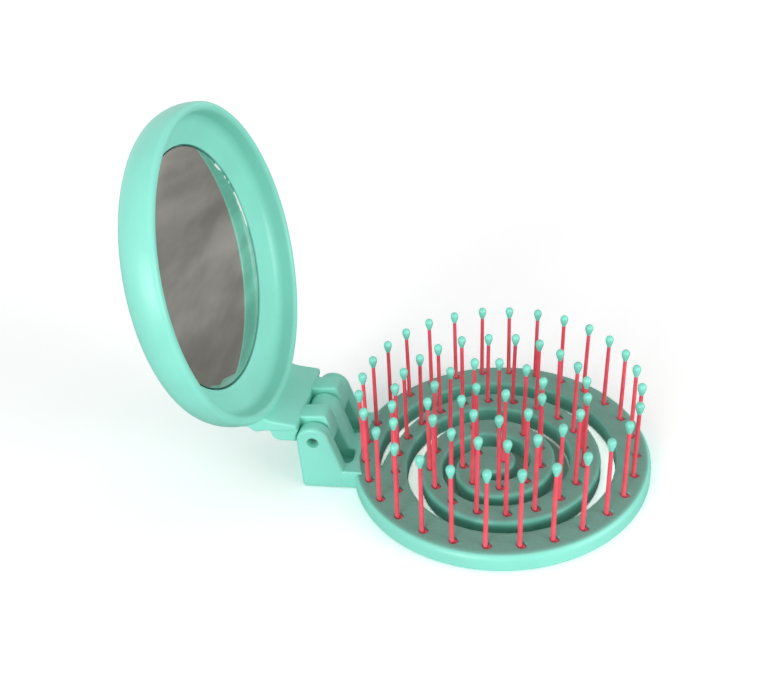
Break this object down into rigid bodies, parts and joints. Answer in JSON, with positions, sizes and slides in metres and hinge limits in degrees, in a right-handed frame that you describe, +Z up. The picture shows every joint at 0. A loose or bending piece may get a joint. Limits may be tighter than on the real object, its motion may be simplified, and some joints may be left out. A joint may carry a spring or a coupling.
{
  "type": "folding hairbrush with mirror",
  "caption": "Round folding pocket hairbrush: spiral-slotted base with bead-tipped pins and a mirror lid on a pinned hinge.",
  "frame": {"origin": "centre of the base disc's underside, on the surface it stands on", "axes": "+Z up, -X toward the hinge and the open lid, hinge pin along Y"},
  "size_m": [0.1051, 0.071, 0.0878],
  "materials": {
    "teal_plastic": "satin moulded plastic",
    "coral_nylon": "smooth flexible nylon",
    "bead_coating": "dipped glossy coating",
    "mirror": "silvered acrylic",
    "foam_pad": "white foam tape",
    "pin_steel": "drawn steel wire"
  },
  "bodies": {
    "base": {"base_frame": "teal_plastic", "ring_pin_strip": "coral_nylon", "coil_pin_strip": "coral_nylon", "ring_bead_tips": "bead_coating", "coil_bead_tips": "bead_coating", "ring_cover": "teal_plastic", "coil_cover": "teal_plastic", "hinge_pin": "pin_steel"},
    "lid": {"lid_shell": "teal_plastic", "mirror_glass": "mirror", "mirror_pad": "foam_pad"}
  },
  "joints": [
    {"name": "lid_hinge", "type": "hinge", "parent": "base", "child": "lid", "pos_m": [-0.0418, 0, 0.013], "axis": [0, -1, 0], "range_deg": [-99, 11]}
  ]
}
